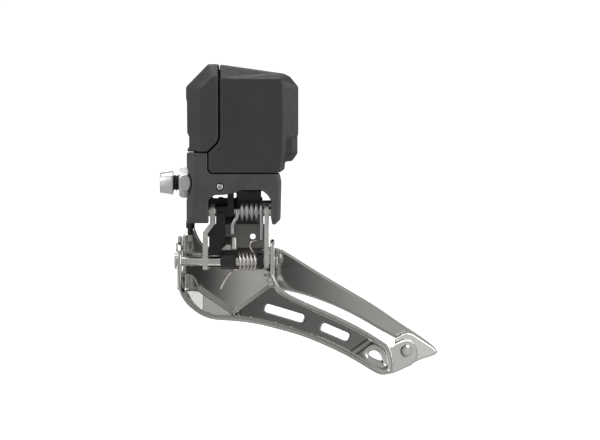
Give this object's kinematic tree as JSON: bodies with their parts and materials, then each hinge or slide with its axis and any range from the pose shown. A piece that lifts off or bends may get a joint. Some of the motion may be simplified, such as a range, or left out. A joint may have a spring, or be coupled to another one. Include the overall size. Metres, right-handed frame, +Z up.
{
  "type": "front derailleur",
  "caption": "Electronic front derailleur for a braze-on mount: sealed motor unit on a black bracket, parallelogram linkage and a bright stamped chain cage that swings outboard",
  "frame": {"origin": "centre of the clamp nut's outer face, on the clamp bolt's axis", "axes": "+X points to the rear wheel, +Y outboard (away from the seat tube), +Z up; the clamp bolt leaves along -X"},
  "size_m": [0.1006, 0.0251, 0.1119],
  "materials": {
    "housing": "moulded, fine texture",
    "housing_cover": "moulded, fine texture",
    "side_cover": "moulded, fine texture",
    "port_plug": "soft",
    "seal": "soft",
    "board": "lacquered",
    "motor_can": "satin",
    "shaft_steel": "ground",
    "gear_steel": "machined",
    "gear_acetal": "machined acetal",
    "bracket": "satin black",
    "bolt_steel": "satin",
    "axle_steel": "polished",
    "link_steel": "tumbled, satin",
    "lever": "black oxide",
    "spring_steel": "drawn wire",
    "cage_plate": "bright plated",
    "rivet": "satin",
    "bush": "moulded",
    "screw_steel": "satin"
  },
  "bodies": {
    "base": {"motor_housing": "housing", "housing_cover": "housing_cover", "side_cover": "side_cover", "cover_seal": "seal", "cover_screw_1": "screw_steel", "cover_screw_2": "screw_steel", "cover_screw_3": "screw_steel", "cover_screw_4": "screw_steel", "port_plug": "port_plug", "circuit_board": "board", "motor_can": "motor_can", "bracket": "bracket", "clamp_nut": "bolt_steel", "upper_near_axle": "axle_steel", "upper_far_axle": "axle_steel"},
    "near_link": {"near_link": "link_steel", "saver_spring": "spring_steel"},
    "drive_lever": {"drive_lever": "lever"},
    "far_link": {"far_link": "link_steel"},
    "cage": {"inner_plate": "cage_plate", "outer_plate": "cage_plate", "tail_rivet": "rivet", "front_rivet": "rivet", "lower_near_axle": "axle_steel", "near_axle_washer": "axle_steel", "lower_far_axle": "axle_steel", "left_bush": "bush", "right_bush": "bush", "cage_spring": "spring_steel"},
    "output_shaft": {"output_shaft": "shaft_steel", "output_pinion": "gear_steel", "worm_wheel": "gear_acetal"},
    "motor_shaft": {"motor_shaft": "shaft_steel", "worm": "shaft_steel"},
    "clamp_bolt": {"clamp_bolt": "bolt_steel"},
    "support_bolt": {"support_bolt": "bolt_steel"},
    "low_adjust_screw": {"low_adjust_screw": "lever"}
  },
  "joints": [
    {"name": "linkage_swing", "type": "hinge", "parent": "base", "child": "near_link", "pos_m": [0, -0.003, -0.0103], "axis": [1, 0, 0], "range_deg": [-2, 28]},
    {"name": "far_link_swing", "type": "hinge", "parent": "base", "child": "far_link", "pos_m": [0, 0.007, -0.008], "axis": [1, 0, 0], "range_deg": [-2, 28]},
    {"name": "cage_pivot", "type": "hinge", "parent": "near_link", "child": "cage", "pos_m": [0, -0.0055, -0.0281], "axis": [1, 0, 0], "range_deg": [-28, 2], "deforming": ["cage_spring"]},
    {"name": "lever_swing", "type": "hinge", "parent": "base", "child": "drive_lever", "pos_m": [0, -0.003, -0.0103], "axis": [1, 0, 0], "range_deg": [-2, 28]},
    {"name": "output_spin", "type": "hinge", "parent": "base", "child": "output_shaft", "pos_m": [0, -0.003, 0.0005], "axis": [1, 0, 0], "range_deg": [-72.8, 5.2]},
    {"name": "motor_spin", "type": "hinge", "parent": "base", "child": "motor_shaft", "pos_m": [0.026, 0.00365, 0], "axis": [0, 0, 1], "range_deg": [-93.6, 1310.4]},
    {"name": "clamp_bolt_travel", "type": "slide", "parent": "base", "child": "clamp_bolt", "axis": [-1, 0, 0], "range_m": [0, 0.006]},
    {"name": "support_bolt_travel", "type": "slide", "parent": "base", "child": "support_bolt", "axis": [0, -1, 0], "range_m": [0, 0.003]},
    {"name": "low_adjust_travel", "type": "slide", "parent": "base", "child": "low_adjust_screw", "axis": [0, 0, -1], "range_m": [-0.001, 0.0015]}
  ],
  "couplings": [
    {"joint": "far_link_swing", "follows": "linkage_swing", "ratio": 1},
    {"joint": "cage_pivot", "follows": "linkage_swing", "ratio": -1},
    {"joint": "lever_swing", "follows": "linkage_swing", "ratio": 1},
    {"joint": "output_spin", "follows": "linkage_swing", "ratio": -2.6},
    {"joint": "motor_spin", "follows": "linkage_swing", "ratio": 46.8}
  ]
}
